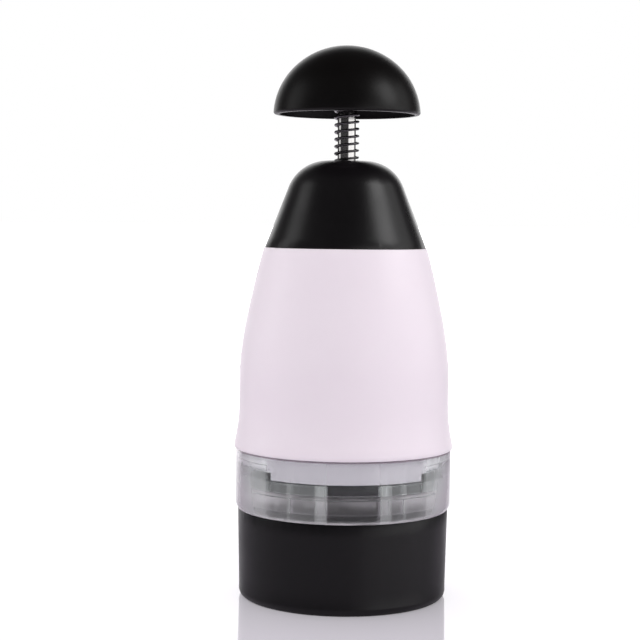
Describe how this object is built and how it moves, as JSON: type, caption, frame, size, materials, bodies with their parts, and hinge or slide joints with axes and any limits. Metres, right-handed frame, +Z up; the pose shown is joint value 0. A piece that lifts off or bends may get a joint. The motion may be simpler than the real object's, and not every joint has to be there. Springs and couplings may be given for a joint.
{
  "type": "plunger food chopper",
  "caption": "Hand-pressed food chopper: domed knob on a sprung rod drives a turning zigzag blade down through a clear ring into a cup.",
  "frame": {"origin": "centre of the cup's foot, on the surface that the chopper stands on", "axes": "+Z up along the plunger rod, -Y is the front as pictured, +X to the right seen from the front"},
  "size_m": [0.0898, 0.0898, 0.2254],
  "materials": {
    "black_plastic": "satin",
    "white_plastic": "satin, slightly translucent",
    "clear_plastic": "clear",
    "works_plastic": "satin",
    "rod_steel": "polished",
    "blade_steel": "fine brushed",
    "spring_steel": "bright drawn wire",
    "brass": "turned"
  },
  "bodies": {
    "base": {"base_cup": "black_plastic"},
    "ring": {"chamber_ring": "clear_plastic"},
    "scraper": {"scraper_plate": "black_plastic"},
    "housing": {"housing_shell": "white_plastic", "top_cap": "black_plastic", "guide_tube": "works_plastic", "upper_crown": "works_plastic", "lower_crown": "works_plastic", "rod_bush": "brass", "spring_seat": "spring_steel", "cap_screws": "blade_steel", "return_spring": "spring_steel"},
    "plunger": {"knob": "black_plastic", "knob_insert": "brass", "plunger_rod": "rod_steel", "head_washer": "spring_steel", "retaining_clips": "spring_steel", "thrust_washers": "works_plastic"},
    "blade_unit": {"ratchet_hub": "works_plastic", "blade_carrier": "works_plastic", "zigzag_blade": "blade_steel"}
  },
  "joints": [
    {"name": "cup_release", "type": "slide", "parent": "base", "child": "ring", "axis": [0, 0, 1], "range_m": [0, 0.05]},
    {"name": "scraper_turn", "type": "hinge", "parent": "ring", "child": "scraper", "pos_m": [0, 0, 0.0475], "axis": [0, 0, 1], "range_deg": [0, 22.5]},
    {"name": "ring_release", "type": "slide", "parent": "ring", "child": "housing", "axis": [0, 0, 1], "range_m": [0, 0.03]},
    {"name": "plunger_stroke", "type": "slide", "parent": "housing", "child": "plunger", "axis": [0, 0, -1], "range_m": [0, 0.0375], "stiffness_N_per_m": 400, "springref_m": -0.02, "deforming": ["return_spring"]},
    {"name": "blade_turn", "type": "hinge", "parent": "plunger", "child": "blade_unit", "pos_m": [0, 0, 0.1413], "axis": [0, 0, 1], "range_deg": [0, 22.5]}
  ],
  "couplings": [
    {"joint": "blade_turn", "follows": "plunger_stroke", "rad_per_m": 10.472},
    {"joint": "scraper_turn", "follows": "plunger_stroke", "rad_per_m": 10.472}
  ]
}
